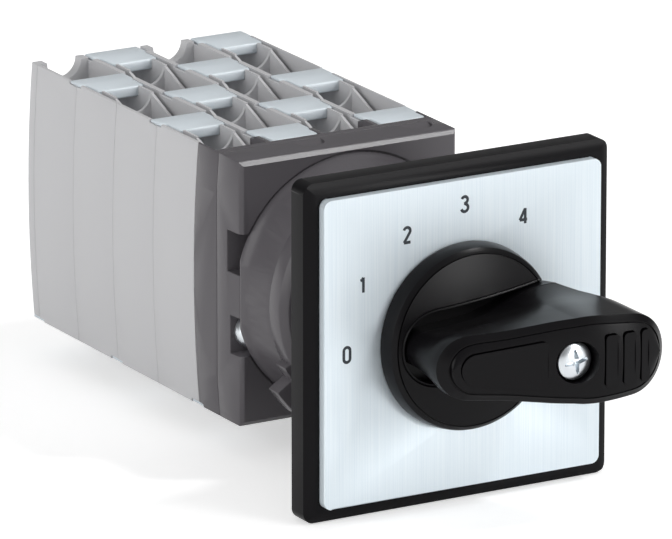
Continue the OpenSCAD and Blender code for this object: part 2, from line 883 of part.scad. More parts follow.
// Rear plate that closes the last wafer and carries the ends of its covers
module end_plate() {
    y0 = rear_face;
    y1 = rear_face + end_plate_t;
    color(wafer_grey) difference() {
        slab(y0, y1) body_outline();
        both_ends() {
            for (c = terminal_columns(wafer_count)) lid_pocket(column_x(c), y0 - cut, y0, y1 + cut);
            for (c = open_columns(wafer_count)) {
                translate([column_x(c), 0, half_h]) rod(bore_radius - 0.05, y0 - cut, y1 + cut);
            }
            translate([-bolt_x, 0, -bolt_z]) rod(bolt_head_r + 0.2, y1 - bolt_head_t, y1 + cut);
        }
        bolt_holes(y0 - cut, y1 + cut);
        rod(2.95, y0 - cut, y1 + cut);
    }
}

module tie_bolts() {
    seat = rear_face + end_plate_t - bolt_head_t;
    face = seat + bolt_head_t - 0.1;
    color(zinc) both_ends() translate([-bolt_x, 0, -bolt_z]) {
        difference() {
            turned() polygon([
                [0, seat], [bolt_head_r, seat], [bolt_head_r, face - 0.5], [bolt_head_r - 0.5, face - 0.1],
                [bolt_head_r - 1.2, face], [0, face]
            ]);
            for (a = [0, 90]) rotate([0, a, 0]) box(-1.3, 1.3, face - 0.9, face + cut, -0.3, 0.3);
        }
        rod(bolt_r, nut_y0 - 0.4, seat + 0.1);
    }
}

module tie_nuts() {
    color(zinc) both_ends() translate([-bolt_x, 0, -bolt_z]) difference() {
        slab(nut_y0, nut_y1) circle(nut_r, $fn = 6);
        rod(bolt_r + 0.02, nut_y0 - cut, nut_y1 + cut);
    }
}

legend_plate();
front_frame();
panel_gasket();
mounting_collar();
panel_nut();
knob_disc();
lever_grip();
grip_screw();
drive_shaft();
locking_ring();
base_front();
base_rear();
stop_disc();
detent_wheel();
detent_springs();
for (k = [1 : wafer_count]) {
    contact_block(k);
    cam(k);
    plunger(k, true);
    plunger(k, false);
    bridge(k, true);
    bridge(k, false);
    contact_spring(k, true);
    contact_spring(k, false);
    fixed_contacts(k);
}
for (k = [0 : wafer_count]) {
    terminal_covers(k);
}
terminal_screws();
end_plate();
tie_bolts();
tie_nuts();
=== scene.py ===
"""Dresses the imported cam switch: its materials, its finer shapes, a plain studio and the camera."""

import json
import math

import bmesh
import bpy
from bpy.props import FloatProperty, FloatVectorProperty, PointerProperty
from mathutils import Matrix, Vector

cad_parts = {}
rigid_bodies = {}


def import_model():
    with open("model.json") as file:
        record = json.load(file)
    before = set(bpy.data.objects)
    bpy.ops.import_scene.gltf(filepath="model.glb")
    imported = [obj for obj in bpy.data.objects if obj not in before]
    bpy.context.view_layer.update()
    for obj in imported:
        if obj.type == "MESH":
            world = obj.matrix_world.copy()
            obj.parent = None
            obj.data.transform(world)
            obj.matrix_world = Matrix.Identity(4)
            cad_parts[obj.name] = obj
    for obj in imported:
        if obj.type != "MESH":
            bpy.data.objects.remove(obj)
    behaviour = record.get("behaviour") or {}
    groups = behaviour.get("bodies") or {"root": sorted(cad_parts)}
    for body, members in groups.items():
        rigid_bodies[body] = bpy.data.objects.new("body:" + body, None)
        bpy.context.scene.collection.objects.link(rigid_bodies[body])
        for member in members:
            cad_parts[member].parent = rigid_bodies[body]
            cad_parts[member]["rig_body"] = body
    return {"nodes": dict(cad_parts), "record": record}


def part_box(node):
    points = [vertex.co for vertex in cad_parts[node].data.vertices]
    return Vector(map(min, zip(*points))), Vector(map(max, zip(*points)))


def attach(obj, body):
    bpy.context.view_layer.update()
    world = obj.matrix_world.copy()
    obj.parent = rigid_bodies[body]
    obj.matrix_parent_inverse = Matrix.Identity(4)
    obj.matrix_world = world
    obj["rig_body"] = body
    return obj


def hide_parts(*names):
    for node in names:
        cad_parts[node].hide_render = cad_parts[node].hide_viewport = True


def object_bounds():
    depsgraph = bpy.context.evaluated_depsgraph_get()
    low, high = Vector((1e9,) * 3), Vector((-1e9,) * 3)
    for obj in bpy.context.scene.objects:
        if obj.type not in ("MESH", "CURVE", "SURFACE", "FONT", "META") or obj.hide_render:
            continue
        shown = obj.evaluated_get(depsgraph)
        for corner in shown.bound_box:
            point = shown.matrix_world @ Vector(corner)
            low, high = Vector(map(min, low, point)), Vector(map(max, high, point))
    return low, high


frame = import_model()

bl_info = {
    "name": "Cam switch",
    "version": (1, 0, 0),
    "blender": (4, 5, 0),
    "location": "View3D > Sidebar > Cam switch",
    "description": "Builds the looks of a panel-mounted rotary cam switch around its packed solids",
    "category": "Object",
}

CAD_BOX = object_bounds()
NODES = frame["nodes"]
MM = 0.001
WAFERS = (1, 2, 3, 4)
# Angle between two faces past which their edge is shaded as sharp
SHARP = math.radians(32)
# Angle between two faces past which a mould's edge is rounded
CREASE = math.radians(35)
# Angle up to which neighbouring faces of a solid are one flat face
NEARLY_FLAT = math.radians(0.6)
# Distances in metres up to which corners are one: anywhere, and after a cut, which leaves slivers
SAME = 1e-6
SLIVER = 2e-6
# Steps in a full turn of a large and of a small round piece
LARGE_TURN = 128
SMALL_TURN = 48


# Materials


def linear(code):
    """An sRGB hex colour as linear values with alpha."""
    values = [int(code[i : i + 2], 16) / 255 for i in (1, 3, 5)]
    return tuple(v / 12.92 if v <= 0.04045 else ((v + 0.055) / 1.055) ** 2.4 for v in values) + (1,)


def add(tree, kind, inputs=None, **settings):
    """One node with its settings; an input is a value, or another node's output to link from."""
    made = tree.nodes.new("ShaderNode" + kind)
    for name, value in settings.items():
        setattr(made, name, value)
    for name, value in (inputs or {}).items():
        if isinstance(value, bpy.types.NodeSocket):
            tree.links.new(value, made.inputs[name])
        else:
            made.inputs[name].default_value = value
    return made


def shader(name, colour, roughness, metallic=0.0, **more):
    """A new material and its Principled shader; more holds other sockets, with _ for a space."""
    material = bpy.data.materials.new(name)
    material.use_nodes = True
    tree = material.node_tree
    tree.nodes.clear()
    values = {"Base Color": colour, "Roughness": roughness, "Metallic": metallic}
    values.update({key.replace("_", " "): value for key, value in more.items()})
    surface = add(tree, "BsdfPrincipled", values)
    add(tree, "OutputMaterial", {"Surface": surface.outputs["BSDF"]})
    return material, surface


def grain(surface, size_mm, height_mm, stretch=(1, 1, 1), detail=2.0):
    """Fine relief whose bumps are size_mm wide, from a noise on object coordinates, which it returns."""
    tree = surface.id_data
    place = add(tree, "TexCoord")
    scaled = add(tree, "Mapping", {"Vector": place.outputs["Object"], "Scale": stretch})
    per_metre = 1 / (size_mm * MM)
    noise = add(tree, "TexNoise", {"Vector": scaled.outputs[0], "Scale": per_metre, "Detail": detail})
    bump = add(tree, "Bump", {"Height": noise.outputs[0], "Distance": height_mm * MM, "Strength": 1.0})
    tree.links.new(bump.outputs[0], surface.inputs["Normal"])
    return noise


def tint(surface, noise, low, high):
    """Lets the colour wander between two hex colours with a noise, whose values lie round a half."""
    tree = surface.id_data
    ramp = add(tree, "MapRange", {"Value": noise.outputs[0], "From Min": 0.25, "From Max": 0.75})
    # a Mix node's colours are its inputs 6 and 7 and its output 2; other sockets share their names
    colours = {6: linear(low), 7: linear(high)}
    mix = add(tree, "Mix", {"Factor": ramp.outputs[0], **colours}, data_type="RGBA")
    tree.links.new(mix.outputs[2], surface.inputs["Base Color"])


def brushed_anodised_aluminium():
    """Anodised aluminium sheet, brushed upright: pale and bluish with faint upright lines."""
    material, surface = shader("brushed_anodised_aluminium", linear("#e2edf4"), 0.38, metallic=0.3)
    # real brush lines are finer than a pixel of the render, so these are drawn 0.22 mm wide
    noise = grain(surface, size_mm=0.22, height_mm=0.0025, stretch=(1, 1, 0.008), detail=4.0)
    tint(surface, noise, "#dce8f0", "#ebf4f9")
    return material


def moulded(name, colour, roughness, size_mm=0.35, height_mm=0.006, **more):
    """Injection-moulded plastic: an even colour with the fine grain of the mould."""
    material, surface = shader(name, linear(colour), roughness, **more)
    # the real grain is finer than a pixel of the render, so it is drawn as coarse as it needs to show
    grain(surface, size_mm, height_mm)
    return material


def bare_metal(name, colour, roughness, size_mm=0.5, height_mm=0.002, stretch=(1, 1, 1)):
    """Bare or plated metal with the marks of its making."""
    material, surface = shader(name, linear(colour), roughness, metallic=1.0)
    grain(surface, size_mm, height_mm, stretch)
    return material


def make_materials():
    """All finishes by the record's slot."""
    return {
        "brushed_plate": brushed_anodised_aluminium(),
        # glass-filled polyamide, moulded with a satin texture: deep black with soft edges of light
        "black_plastic": moulded("satin_black_polyamide", "#131214", 0.3, Specular_IOR_Level=0.09),
        # the same for the knob with a finer grain: a little more light lies on its edges and flanks
        "knob_plastic": moulded(
            "grained_black_polyamide",
            "#0f0e10",
            0.3,
            size_mm=0.25,
            height_mm=0.003,
            Specular_IOR_Level=0.14,
        ),
        # nitrile rubber, moulded: dull and soft
        "gasket_rubber": moulded(
            "moulded_black_rubber",
            "#1a191a",
            0.75,
            size_mm=0.5,
            height_mm=0.01,
            Specular_IOR_Level=0.2,
        ),
        # polyamide, moulded dark grey: satin, with light caught on its chamfers
        "dark_plastic": moulded("moulded_dark_grey_polyamide", "#5c595d", 0.27, Specular_IOR_Level=0.3),
        # polyamide, moulded light grey: even and satin
        "grey_plastic": moulded("moulded_light_grey_polyamide", "#cacacc", 0.45),
        # polycarbonate, moulded bluish white: smoother and brighter than the wafers
        "cover_plastic": moulded(
            "moulded_white_polycarbonate", "#dfe8ee", 0.28, size_mm=0.6, height_mm=0.003
        ),
        # natural nylon, moulded: creamy and slightly waxy
        "white_nylon": moulded("moulded_natural_nylon", "#e6e0cf", 0.4, size_mm=0.4, height_mm=0.004),
        # zinc-plated steel, cold headed: bright with soft marks
        "zinc_screw": bare_metal("bright_zinc_plated_steel", "#dfe4e8", 0.3),
        # steel bar, cold drawn: grey with fine lines along its length
        "shaft_steel": bare_metal(
            "cold_drawn_steel", "#a9a9ab", 0.34, size_mm=0.3, height_mm=0.003, stretch=(1, 0.02, 1)
        ),
        # spring steel, drawn and tempered: grey and smooth
        "spring_steel": bare_metal("tempered_spring_steel", "#a4a5a7", 0.3),
        # brass strip, stamped: warm yellow with a soft sheen
        "contact_brass": bare_metal("stamped_brass_strip", "#d2ac58", 0.3),
        # copper alloy strip, stamped: reddish with a soft sheen
        "bridge_copper": bare_metal("stamped_copper_strip", "#cc8a62", 0.3),
    }


MATERIALS = {}


def slot_of(node):
    """The material slot that the record gives a node."""
    rows = frame["record"]["subparts"]
    return next(row["material_slot"] for row in rows if row["node"] == node)


# Shapes: lofts, slabs and turned solids take millimetres, and every bmesh holds metres


def mesh_object(bm, name):
    """A new object with the shape of a bmesh, which is used up."""
    mesh = bpy.data.meshes.new(name)
    bm.to_mesh(mesh)
    bm.free()
    made = bpy.data.objects.new(name, mesh)
    bpy.context.scene.collection.objects.link(made)
    return made


def replace_node(bm, name, node, sharp=SHARP):
    """Turns a bmesh into the piece that stands for a solid, smooth except at its sharp edges."""
    for face in bm.faces:
        face.smooth = True
    for edge in bm.edges:
        edge.smooth = len(edge.link_faces) == 2 and edge.calc_face_angle(0) < sharp
    piece = mesh_object(bm, name)
    slot = slot_of(node)
    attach(piece, NODES[node]["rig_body"])
    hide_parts(node)
    piece.data.materials.append(MATERIALS[slot])


def loft(bm, rings):
    """Joins closed rings of as many points each by extruding each ring's edges to the next."""
    ring = bmesh.ops.create_circle(bm, segments=len(rings[0]), radius=1)["verts"]
    first = ring
    for level, points in enumerate(rings):
        if level:
            edges = [bm.edges.get((a, b)) for a, b in zip(ring, ring[1:] + ring[:1])]
            made = bmesh.ops.extrude_edge_only(bm, edges=edges)["geom"]
            fresh = {v for v in made if isinstance(v, bmesh.types.BMVert)}
            ring = [next(e.other_vert(v) for e in v.link_edges if e.other_vert(v) in fresh) for v in ring]
        for vert, point in zip(ring, points):
            vert.co = Vector(point) * MM
    return first, ring


def cap_across(bm, ring):
    """Closes a ring that is the same on both sides of the X axis with strips from side to side."""
    half = len(ring) // 2
    upper = ring[: half + 1]
    lower = [ring[0]] + ring[: half - 1 : -1]
    for i in range(half):
        corners = []
        for vert in (upper[i], upper[i + 1], lower[i + 1], lower[i]):
            if vert not in corners:
                corners.append(vert)
        bmesh.ops.contextual_create(bm, geom=corners)


def closed_loft(rings):
    """A closed solid through rings of as many points each."""
    bm = bmesh.new()
    first, last = loft(bm, rings)
    bmesh.ops.contextual_create(bm, geom=first)
    bmesh.ops.contextual_create(bm, geom=last)
    bmesh.ops.recalc_face_normals(bm, faces=bm.faces)
    return bm


def slab(outline, y0, y1):
    """A closed solid over an outline of (x, z) points from y0 to y1."""
    return closed_loft([[(x, y, z) for x, z in outline] for y in (y0, y1)])


def merge_and_orient(bm):
    """Merges doubled corners and turns all faces outwards."""
    bmesh.ops.remove_doubles(bm, verts=bm.verts, dist=SAME)
    bmesh.ops.recalc_face_normals(bm, faces=bm.faces)


def spin(bm, steps):
    """Spins a profile once round the Y axis into a closed solid."""
    bmesh.ops.spin(
        bm,
        geom=bm.verts[:] + bm.edges[:],
        cent=(0, 0, 0),
        axis=(0, 1, 0),
        angle=math.tau,
        steps=steps,
        use_merge=True,
    )
    merge_and_orient(bm)


def turned(profile, steps, x=0.0, z=0.0):
    """A solid of revolution along Y at (x, z), from (radius, y) points that start and end on its axis."""
    bm = bmesh.new()
    last = bmesh.ops.create_vert(bm, co=Vector((*profile[0], 0)) * MM)["vert"][0]
    for point in profile[1:]:
        last = bmesh.ops.extrude_vert_indiv(bm, verts=[last])["verts"][0]
        last.co = Vector((*point, 0)) * MM
    spin(bm, steps)
    bmesh.ops.translate(bm, verts=bm.verts, vec=(x * MM, 0, z * MM))
    return bm


def turned_ring(profile, steps):
    """A ring round the Y axis, from the (radius, y) points of its closed section."""
    bm = bmesh.new()
    corners = [bmesh.ops.create_vert(bm, co=Vector((*point, 0)) * MM)["vert"][0] for point in profile]
    for pair in zip(corners, corners[1:] + corners[:1]):
        bmesh.ops.contextual_create(bm, geom=pair)
    spin(bm, steps)
    return bm


def carve(bm, cutters):
    """The bmesh less some closed cutters, each a bmesh; all are used up."""
    body = mesh_object(bm, "body")
    tools = [mesh_object(cutter, "tool") for cutter in cutters]
    for tool in tools:
        cut = body.modifiers.new("cut", "BOOLEAN")
        cut.operation = "DIFFERENCE"
        cut.solver = "EXACT"
        cut.object = tool
    bpy.context.view_layer.update()
    graph = bpy.context.evaluated_depsgraph_get()
    result = bmesh.new()
    result.from_mesh(body.evaluated_get(graph).to_mesh())
    for used in [body] + tools:
        mesh = used.data
        bpy.data.objects.remove(used)
        bpy.data.meshes.remove(mesh)
    return result


def absorb(bm, other):
    """Adds another bmesh to this one and uses it up."""
    spare = bpy.data.meshes.new("spare")
    other.to_mesh(spare)
    other.free()
    bm.from_mesh(spare)
    bpy.data.meshes.remove(spare)


def is_outer_crease(edge):
    """Whether an edge stands out between two faces and is sharp."""
    return edge.is_manifold and edge.is_convex and edge.calc_face_angle(0) > CREASE


def round_edges(bm, width, shortest, segments, keep):
    """Bevels the outer creases that are long enough, or those among them that keep chooses."""
    chosen = [edge for edge in bm.edges if is_outer_crease(edge) and edge.calc_length() >= shortest]
    if keep:
        chosen = [edge for edge in chosen if keep(edge)]
    bmesh.ops.bevel(
        bm,
        geom=chosen,
        offset=width,
        offset_type="OFFSET",
        segments=segments,
        profile=0.5,
        affect="EDGES",
        clamp_overlap=False,
        material=-1,
    )


def soften(node, width, shortest=0.8 * MM, segments=2, keep=None, cutters=()):
    """Replaces a solid by a copy with edges as a mould leaves them, less some cutters; sizes in metres."""
    bm = bmesh.new()
    bm.from_mesh(NODES[node].data)
    bmesh.ops.remove_doubles(bm, verts=bm.verts, dist=SAME)
    bmesh.ops.dissolve_limit(
        bm, angle_limit=NEARLY_FLAT, use_dissolve_boundaries=False, verts=bm.verts, edges=bm.edges
    )
    round_edges(bm, width, shortest, segments, keep)
    if cutters:
        bm = carve(bm, cutters)
    replace_node(bm, node + "_soft", node)


def arc(x, z, radius, start, end, steps):
    """Points on a circle, angles in degrees from +X towards +Z."""
    angles = [math.radians(start + (end - start) * i / steps) for i in range(steps + 1)]
    return [(x + radius * math.cos(a), z + radius * math.sin(a)) for a in angles]


def between(a, b, steps):
    """Points that divide a straight line into equal steps, without its ends."""
    return [(a[0] + (b[0] - a[0]) * i / steps, a[1] + (b[1] - a[1]) * i / steps) for i in range(1, steps)]


def tube(paths, radius):
    """Round closed tubes along flat paths, each a list of (x, y)."""
    curve = bpy.data.curves.new("path", "CURVE")
    curve.dimensions = "3D"
    curve.bevel_depth = radius
    curve.bevel_resolution = 2
    curve.use_fill_caps = True
    for path in paths:
        line = curve.splines.new("POLY")
        line.points.add(len(path) - 1)
        for point, place in zip(line.points, path):
            point.co = (*place, 0, 1)
    holder = bpy.data.objects.new("path", curve)
    bpy.context.scene.collection.objects.link(holder)
    bpy.context.view_layer.update()
    mesh = bpy.data.meshes.new_from_object(holder)
    bpy.data.objects.remove(holder)
    bm = bmesh.new()
    bm.from_mesh(mesh)
    bpy.data.meshes.remove(mesh)
    return bm


# Settings

# Slate colour of the printed numerals
INK = "#1b232c"


class CamSwitchSettings(bpy.types.PropertyGroup):
    """Sizes and colours that a user would change"""

    numeral_height: FloatProperty(
        name="Numeral height",
        description="Height of the dial's numerals",
        unit="LENGTH",
        default=3.05 * MM,
        min=2.0 * MM,
        max=4.0 * MM,
    )
    ink: FloatVectorProperty(
        name="Ink",
        description="Colour of the printed numerals",
        subtype="COLOR",
        size=3,
        default=linear(INK)[:3],
    )
    edge_width: FloatProperty(
        name="Edge width",
        description="Rounding of moulded edges",
        unit="LENGTH",
        default=0.18 * MM,
        min=0.02 * MM,
        max=0.5 * MM,
    )
    ambient: FloatProperty(name="Ambient", description="Strength of the light from above", default=0.5)
    key: FloatProperty(name="Key", description="Strength of the soft light from the front", default=0.9)
    side: FloatProperty(
        name="Side light", description="Strength of the broad light from the left", default=1.3
    )
    brow: FloatProperty(
        name="Brow light", description="Strength of the light over the front", default=0.7
    )
    top: FloatProperty(
        name="Top light", description="Strength of the light that draws the top edges", default=0.7
    )
    azimuth: FloatProperty(
        name="Azimuth",
        description="Camera direction round the object",
        subtype="ANGLE",
        default=math.radians(-30.0175),
    )
    elevation: FloatProperty(
        name="Elevation",
        description="Camera height over the horizon",
        subtype="ANGLE",
        default=math.radians(16.5707),
    )
    distance: FloatProperty(
        name="Distance",
        description="Camera distance from its target",
        subtype="DISTANCE",
        default=1.5358,
    )
    lens: FloatProperty(
        name="Lens", description="Focal length on a 36 mm sensor", unit="CAMERA", default=483.54
    )
    target: FloatVectorProperty(
        name="Target",
        description="Point that the camera looks at",
        subtype="XYZ",
        unit="LENGTH",
        size=3,
        default=(-0.01719, 0.006051, 0.010532),
    )


# Operators, each under the sizes of its pieces, in millimetres unless a comment gives another unit

# Half the floor's side and its distance under the object, in metres
FLOOR_REACH = 30
FLOOR_GAP = 0.2 * MM
# Strength of the floor's glow where it is looked at, and where it is mirrored or seen through glass
SEEN_GLOW = 0.5
MIRRORED_GLOW = 0.3
# The world by height, from 0 at the horizon to 1 overhead: where its dim walls end, and where its
# ceiling has its full strength, which is the setting for the light from above
WALL_TOP, CEILING_FOOT = 0.35, 0.8
WALL_STRENGTH = 0.17
# Its thin bright rim: where that starts to fade and where it ends
RIM_FADE, RIM_TOP = 0.03, 0.06
RIM_STRENGTH = 0.9
# Lamps by the setting of their strength: apparent width in degrees and the direction towards them
LAMPS = {
    "key": (18, (0.42, -0.905, 0.03)),
    "side": (50, (-0.95, -0.1, 0.3)),
    "brow": (20, (0.48, -0.77, 0.42)),
    "top": (6, (0.48, -0.3, 0.82)),
}
# Width of the camera's sensor, and its clipping distances in metres
SENSOR = 36
NEAR, FAR = 0.05, 100


class CAMSWITCH_OT_stage(bpy.types.Operator):
    """Floor, soft light and the camera at the photograph's viewing angle"""

    bl_idname = "camswitch.stage"
    bl_label = "Stage"

    def execute(self, context):
        settings = context.scene.cam_switch
        self.floor()
        self.world(settings)
        self.lamps(settings)
        self.camera(settings)
        context.scene.view_settings.view_transform = "Standard"
        return {"FINISHED"}

    def floor(self):
        """A wide white board under the object"""
        bm = bmesh.new()
        bmesh.ops.create_grid(bm, x_segments=1, y_segments=1, size=FLOOR_REACH)
        bmesh.ops.translate(bm, verts=bm.verts, vec=(0, 0, CAD_BOX[0][2] - FLOOR_GAP))
        floor = mesh_object(bm, "floor")
        # painted board: matt white, with a glow that lifts it to the white of paper and leaves the shadow
        material, surface = shader(
            "painted_white_board",
            linear("#f7f7f7"),
            0.9,
            Emission_Color=(1, 1, 1, 1),
            Specular_IOR_Level=0.1,
        )
        tree = surface.id_data
        ray = add(tree, "LightPath").outputs
        kinds = {0: ray["Is Glossy Ray"], 1: ray["Is Transmission Ray"]}
        indirect = add(tree, "Math", kinds, operation="MAXIMUM")
        mirrored = add(tree, "Math", {0: indirect.outputs[0], 1: MIRRORED_GLOW}, operation="MULTIPLY")
        seen = add(tree, "Math", {0: ray["Is Camera Ray"], 1: SEEN_GLOW}, operation="MULTIPLY")
        glow = add(tree, "Math", {0: seen.outputs[0], 1: mirrored.outputs[0]}, operation="MAXIMUM")
        tree.links.new(glow.outputs[0], surface.inputs["Emission Strength"])
        floor.data.materials.append(material)

    def world(self, settings):
        """A bright ceiling over dim walls, with a thin bright rim where the floor ends"""
        world = bpy.data.worlds.new("studio")
        bpy.context.scene.world = world
        world.use_nodes = True
        tree = world.node_tree
        tree.nodes.clear()
        place = add(tree, "TexCoord")
        height = add(tree, "SeparateXYZ", {"Vector": place.outputs["Generated"]}).outputs["Z"]
        strengths = []
        for start, end, low, high in (
            (WALL_TOP, CEILING_FOOT, WALL_STRENGTH, settings.ambient),
            (RIM_FADE, RIM_TOP, RIM_STRENGTH, 0.0),
        ):
            limits = {"From Min": start, "From Max": end, "To Min": low, "To Max": high}
            strengths.append(add(tree, "MapRange", {"Value": height, **limits}).outputs[0])
        strength = add(tree, "Math", {0: strengths[0], 1: strengths[1]}, operation="MAXIMUM")
        glow = add(tree, "Background", {"Color": (1, 1, 1, 1), "Strength": strength.outputs[0]})
        add(tree, "OutputWorld", {"Surface": glow.outputs[0]})

    def lamps(self, settings):
        """Far soft lamps whose light glances off the edges that the photograph shows bright"""
        for name, (width, towards) in LAMPS.items():
            lamp = bpy.data.lights.new(name + "_light", "SUN")
            lamp.energy = getattr(settings, name)
            lamp.angle = math.radians(width)
            sun = bpy.data.objects.new(name + "_light", lamp)
            sun.rotation_euler = Vector(towards).to_track_quat("Z", "Y").to_euler()
            bpy.context.scene.collection.objects.link(sun)

    def camera(self, settings):
        """The camera, looking at its target from the direction and distance of the settings"""
        data = bpy.data.cameras.new("camera")
        data.sensor_width = SENSOR
        data.lens = settings.lens
        data.clip_start = NEAR
        data.clip_end = FAR
        camera = bpy.data.objects.new("camera", data)
        azimuth, elevation = settings.azimuth, settings.elevation
        level = math.cos(elevation)
        back = Vector((math.sin(azimuth) * level, -math.cos(azimuth) * level, math.sin(elevation)))
        camera.location = Vector(settings.target) + settings.distance * back
        camera.rotation_euler = back.to_track_quat("Z", "Y").to_euler()
        bpy.context.scene.collection.objects.link(camera)
        bpy.context.scene.camera = camera


class CAMSWITCH_OT_finishes(bpy.types.Operator):
    """Gives every solid its material"""

    bl_idname = "camswitch.finishes"
    bl_label = "Finishes"

    def execute(self, context):
        MATERIALS.update(make_materials())
        for node, piece in NODES.items():
            piece.data.materials.clear()
            piece.data.materials.append(MATERIALS[slot_of(node)])
        return {"FINISHED"}


# Centres of the numerals 0 to 4 on the plate, (x, z)
DIAL_PLACES = ((-22.88, -0.2), (-19.65, 11.65), (-11.15, 19.2), (0.2, 23.0), (11.75, 19.2))
# Centre lines of the numerals in units of their height, each stroke a list of points
NUMERALS = {
    0: [arc(0.26, 0.735, 0.2, 0, 180, 12) + arc(0.26, 0.265, 0.2, 180, 360, 12) + [(0.46, 0.735)]],
    1: [[(0.06, 0.765), (0.16, 0.8), (0.24, 0.935)], [(0.25, 0.935), (0.25, 0.065)]],
    2: [arc(0.26, 0.73, 0.205, 165, -32, 14) + [(0.07, 0.065)], [(0.06, 0.065), (0.48, 0.065)]],
    3: [
        arc(0.25, 0.745, 0.19, 160, -75, 14),
        arc(0.25, 0.285, 0.22, 78, -165, 14),
        [(0.2, 0.535), (0.3, 0.535)],
    ],
    4: [[(0.4, 0.065), (0.4, 0.95)], [(0.39, 0.935), (0.05, 0.29)], [(0.04, 0.29), (0.52, 0.29)]],
}
# Their middle and half the width of a stroke in the same units, and how flat the round strokes are pressed
NUMERAL_MIDDLE = (0.26, 0.5)
STROKE = 0.088
PRESSED = 0.1


class CAMSWITCH_OT_dial(bpy.types.Operator):
    """Printed numerals of the legend plate"""

    bl_idname = "camswitch.dial"
    bl_label = "Dial"

    def execute(self, context):
        settings = context.scene.cam_switch
        # printing ink, baked: near black with a blue cast, duller than the plate
        ink = shader("printed_slate_ink", (*settings.ink, 1), 0.5)[0]
        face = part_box("legend_plate")[0].y
        for number, (x, z) in enumerate(DIAL_PLACES):
            bm = self.numeral(number, settings.numeral_height, (x * MM, face, z * MM))
            piece = mesh_object(bm, f"numeral_{number}")
            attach(piece, "housing")
            piece.data.materials.append(ink)
        return {"FINISHED"}

    def numeral(self, number, height, place):
        """A numeral as flat round-ended strokes, centred on a place of a face that looks along -Y"""
        bm = tube(NUMERALS[number], STROKE)
        middle_x, middle_y = NUMERAL_MIDDLE
        upright = Matrix.Rotation(math.radians(90), 3, "X")
        bmesh.ops.translate(bm, verts=bm.verts, vec=(-middle_x, -middle_y, 0))
        bmesh.ops.scale(bm, verts=bm.verts, vec=(height, height, PRESSED * height))
        bmesh.ops.rotate(bm, verts=bm.verts, cent=(0, 0, 0), matrix=upright)
        bmesh.ops.translate(bm, verts=bm.verts, vec=place)
        for side in bm.faces:
            side.smooth = True
        return bm


# The knob's disc: Y of the hub's rear and the hub's radius, and Y of the disc's rear
HUB_REAR, HUB_R = 6.0, 7.4
DISC_REAR = -7.8
# (radius, y) of its side and rounded rim, and of the fine line inside the rim
DISC_SIDE = ((16.5, DISC_REAR), (16.5, -8.3), (16.25, -10.2), (16.05, -10.75), (15.6, -11.2), (15.3, -11.4))
RIM_LINE = ((15.26, -11.1), (15.1, -11.1))
# Radius and edge of the domed face, the height of the dome, and the radii at which it is drawn
FACE_R, FACE_EDGE = 15.05, -11.4
DOME = 1.65
DOME_RADII = (14, 12.5, 10.5, 8, 5, 2.5, 0)
# Its pocket: centre and radius of the round nose and of the wide end, the open end, and Y of the floor
NOSE_X, NOSE_R = -7.5, 6.5
WIDE_X, WIDE_R = 12.6, 8.5
OPEN_X = 20
POCKET_FLOOR = -9.1
# Steps round its nose and along each of its straight edges, and Y before the whole disc
NOSE_STEPS, EDGE_STEPS = 24, 16
BEFORE_DISC = -14.4
# Section of the fine V-shaped line along the pocket: distance from its edge and depth under the face
LIP_LINE = ((0.1, -0.03), (0.34, 0.21), (0.58, -0.03), (0.1, -0.03))


def face_y(x, z=0.0):
    """Y of the disc's domed face."""
    return FACE_EDGE - DOME * max(0, 1 - (x * x + z * z) / FACE_R**2)


def pocket_outline(grow=0.0):
    """Outline of the disc's pocket: round at the nose, wider towards the rim and open there."""
    lean = math.degrees(math.acos(-(WIDE_R - NOSE_R) / (WIDE_X - NOSE_X)))
    side = WIDE_R + grow
    nose = arc(NOSE_X, 0, NOSE_R + grow, lean, 360 - lean, NOSE_STEPS)
    end = [(WIDE_X, -side), (OPEN_X, -side), (OPEN_X, side), (WIDE_X, side)]
    down, up = between(nose[-1], end[0], EDGE_STEPS), between(end[-1], nose[0], EDGE_STEPS)
    return nose + down + end + up


class CAMSWITCH_OT_disc(bpy.types.Operator):
    """Knob disc with its tapered side, domed face, pocket for the grip and two fine lines"""

    bl_idname = "camswitch.disc"
    bl_label = "Disc"

    def execute(self, context):
        profile = [(0, HUB_REAR), (HUB_R, HUB_REAR), (HUB_R, DISC_REAR), *DISC_SIDE, *RIM_LINE]
        profile += [(FACE_R, FACE_EDGE)] + [(r, face_y(r)) for r in DOME_RADII]
        disc = turned(profile, LARGE_TURN)
        pocket = slab(pocket_outline(), POCKET_FLOOR, BEFORE_DISC)
        bm = carve(disc, [pocket, self.lip_line()])
        bmesh.ops.remove_doubles(bm, verts=bm.verts, dist=SLIVER)
        replace_node(bm, "disc_body", "knob_disc", sharp=math.radians(24))
        return {"FINISHED"}

    def lip_line(self):
        """Cutter for the fine line along the pocket, whose wall catches the light"""
        rings = []
        for grow, depth in LIP_LINE:
            rings.append([(x, face_y(x, z) + depth, z) for x, z in pocket_outline(grow)])
        line = bmesh.new()
        loft(line, rings)
        merge_and_orient(line)
        return line


# The grip's screw: X, Y of the head's seat and top, radii of the head and of its hole, and the shank's
# radius and end
SCREW_X = 8.24
SEAT, HEAD_TOP = -27.0, -31.0
HEAD_R, HOLE_R = 3.4, 3.7
SHANK_R, SHANK_END = 1.5, -8
# The head's rounding: distance in from its side and down from its top
HEAD_ROUND = ((0, 1.0), (0.2, 0.6), (0.8, 0.22), (1.8, 0.04))
# Each slot of the cross recess, above the head and at its floor: Y, half width and half length
RECESS = ((HEAD_TOP - 0.5, 0.66, 2.6), (HEAD_TOP + 1.0, 0.3, 1.7))
# Width of a slot's ends against its middle, and the angles of the two slots
SLOT_TAPER = 0.4
SLOT_ANGLES = (8, 98)


